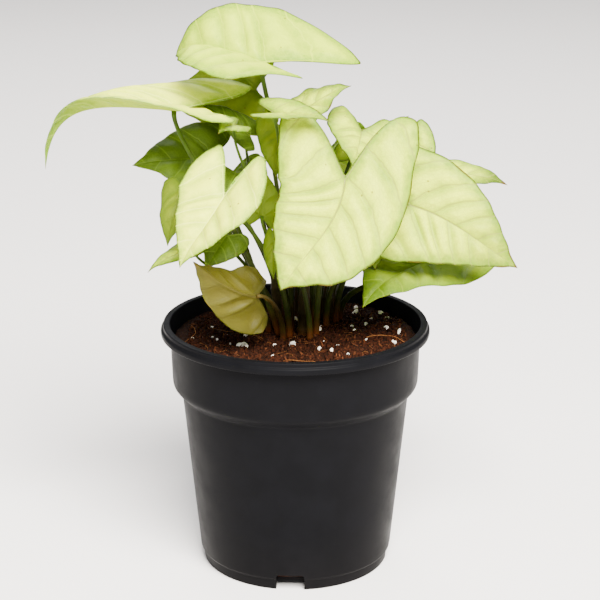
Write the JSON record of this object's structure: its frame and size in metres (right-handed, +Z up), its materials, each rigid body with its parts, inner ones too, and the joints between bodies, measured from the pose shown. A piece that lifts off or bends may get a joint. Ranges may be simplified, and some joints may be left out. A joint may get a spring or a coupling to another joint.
{
  "type": "potted arrowhead plant",
  "caption": "Arrowhead plant with pale arrow-shaped leaves on thin stalks, growing from dark potting mix in a plain black tapered nursery pot with a rolled lip.",
  "frame": {"origin": "centre of the pot's underside, on the surface it stands on", "axes": "+Z up along the pot's axis, -Y towards the viewer who faces the plant's fullest side, +X to that viewer's right"},
  "size_m": [0.223, 0.142, 0.2763],
  "materials": {
    "black_plastic": "satin moulded polypropylene",
    "cocopeat": "loose and damp",
    "cane": "dull",
    "stalk": "satin",
    "pale_blade": "satin",
    "green_blade": "satin",
    "olive_blade": "satin"
  },
  "bodies": {
    "root": {"pot": "black_plastic", "soil": "cocopeat", "cane_middle": "cane", "cane_left": "cane", "cane_right": "cane", "cane_rear": "cane", "leaf_crown": "pale_blade", "petiole_crown": "stalk", "leaf_arching": "pale_blade", "petiole_arching": "stalk", "leaf_dark_left": "green_blade", "petiole_dark_left": "stalk", "leaf_front_left": "pale_blade", "petiole_front_left": "stalk", "leaf_front": "pale_blade", "petiole_front": "stalk", "leaf_right": "pale_blade", "petiole_right": "stalk", "leaf_low_right": "olive_blade", "petiole_low_right": "stalk", "leaf_low_left": "olive_blade", "petiole_low_left": "stalk", "leaf_folded": "pale_blade", "petiole_folded": "stalk", "leaf_upper_right": "pale_blade", "petiole_upper_right": "stalk", "leaf_behind_front": "pale_blade", "petiole_behind_front": "stalk", "leaf_right_young": "pale_blade", "petiole_right_young": "stalk", "leaf_right_thin": "pale_blade", "petiole_right_thin": "stalk", "leaf_outer_left": "olive_blade", "petiole_outer_left": "stalk", "leaf_spear_left": "pale_blade", "petiole_spear_left": "stalk", "leaf_inner_left": "green_blade", "petiole_inner_left": "stalk", "leaf_upper_back": "olive_blade", "petiole_upper_back": "stalk", "leaf_tucked_right": "pale_blade", "petiole_tucked_right": "stalk", "leaf_inner_top": "olive_blade", "petiole_inner_top": "stalk", "leaf_inner_bud": "olive_blade", "petiole_inner_bud": "stalk", "leaf_inner_right": "olive_blade", "petiole_inner_right": "stalk", "leaf_under_arching": "green_blade", "petiole_under_arching": "stalk", "leaf_inner_pale": "pale_blade", "petiole_inner_pale": "stalk", "leaf_inner_curled": "olive_blade", "petiole_inner_curled": "stalk", "leaf_back": "pale_blade", "petiole_back": "stalk", "leaf_back_left": "green_blade", "petiole_back_left": "stalk", "leaf_back_right": "pale_blade", "petiole_back_right": "stalk"}
  },
  "joints": []
}
